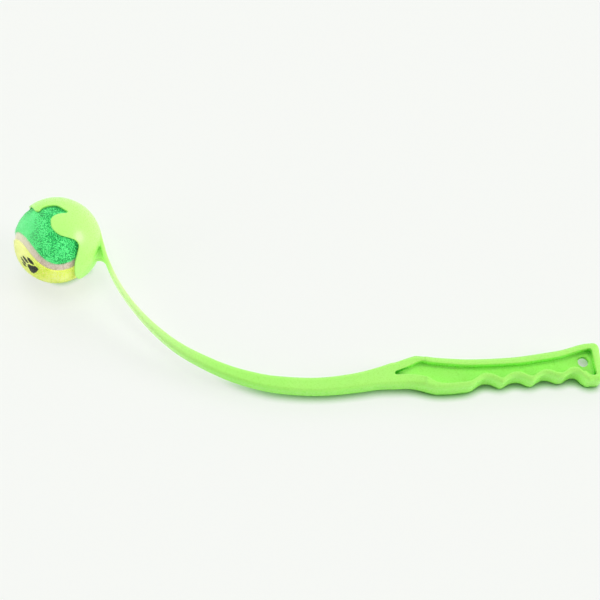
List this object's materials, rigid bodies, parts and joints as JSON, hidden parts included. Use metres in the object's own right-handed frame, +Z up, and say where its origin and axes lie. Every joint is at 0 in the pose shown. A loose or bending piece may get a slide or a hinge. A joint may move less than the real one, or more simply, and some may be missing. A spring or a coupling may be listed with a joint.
{
  "type": "dog ball thrower",
  "caption": "Curved plastic arm that flings a tennis ball for a dog: a claw-rimmed cup grips the felt ball, a springy strap bends, and a finger-grooved handle has a hang hole.",
  "frame": {"origin": "on the table, under the middle of the thrower's bounding box as it lies on its side with the ball in its cup", "axes": "+X from the cup to the butt of the handle, +Y to the back side of the strap, +Z up from the table"},
  "size_m": [0.4518, 0.162, 0.0693],
  "materials": {
    "lime_plastic": "satin moulded",
    "core_rubber": "matte",
    "green_felt": "fuzzy felt",
    "yellow_felt": "fuzzy felt",
    "seam_rubber": "matte"
  },
  "bodies": {
    "thrower": {"thrower": "lime_plastic"},
    "ball": {"ball_core_half_green": "core_rubber", "ball_core_half_yellow": "core_rubber", "felt_panel_green": "green_felt", "felt_panel_yellow": "yellow_felt", "ball_seam": "seam_rubber"}
  },
  "joints": [
    {"name": "ball_release", "type": "slide", "parent": "thrower", "child": "ball", "axis": [-0.8236, -0.5672, 0], "range_m": [0, 0.08]}
  ]
}
